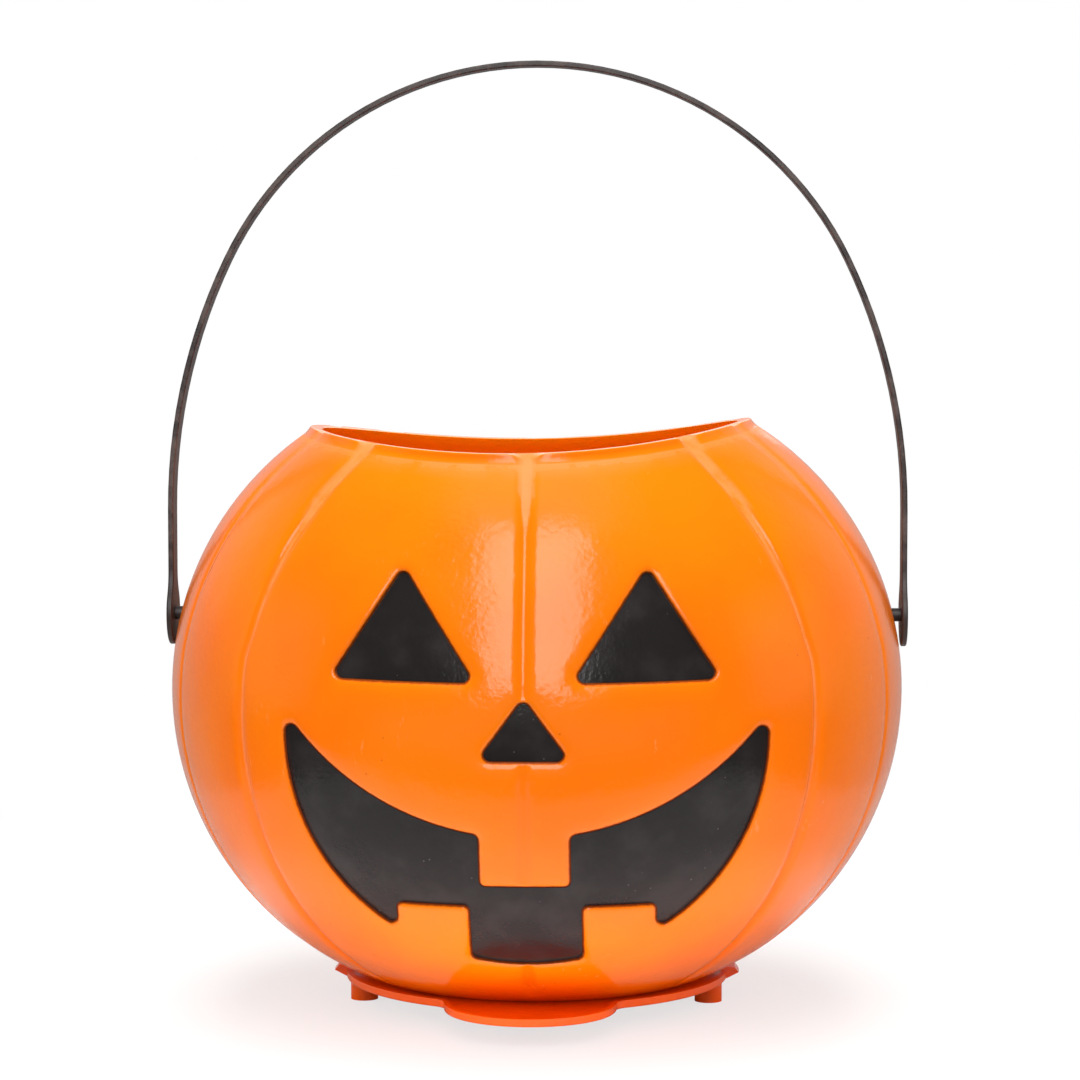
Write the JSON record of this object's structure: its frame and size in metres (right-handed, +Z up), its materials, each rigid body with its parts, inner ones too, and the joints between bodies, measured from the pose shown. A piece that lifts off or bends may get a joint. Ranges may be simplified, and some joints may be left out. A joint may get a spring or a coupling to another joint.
{
  "type": "pumpkin candy pail",
  "caption": "Round orange pumpkin pail with a sunken black jack-o'-lantern face, a saddle-shaped open rim, a swinging strap handle and a tabbed lid stored under its base.",
  "frame": {"origin": "point on the table under the pail's upright axis, level with the bottoms of the lid's pegs", "axes": "+Z up along the pail's axis, -Y the way the face looks, +X to the right of someone who looks at the face"},
  "size_m": [0.1924, 0.1899, 0.2441],
  "materials": {
    "pail_plastic": "semi-gloss moulded polyethylene",
    "face_paint": "semi-gloss sprayed paint",
    "handle_plastic": "satin moulded plastic",
    "lid_plastic": "semi-gloss moulded polyethylene"
  },
  "bodies": {
    "lid": {"storage_lid": "lid_plastic"},
    "pail": {"pail_body": "pail_plastic", "left_eye_paint": "face_paint", "right_eye_paint": "face_paint", "nose_paint": "face_paint", "mouth_paint": "face_paint"},
    "handle": {"carry_handle": "handle_plastic"}
  },
  "joints": [
    {"name": "pail_lift", "type": "slide", "parent": "lid", "child": "pail", "axis": [0, 0, 1], "range_m": [0, 0.05]},
    {"name": "handle_swing", "type": "hinge", "parent": "pail", "child": "handle", "pos_m": [0, 0, 0.1007], "axis": [1, 0, 0], "range_deg": [-125, 125]}
  ]
}
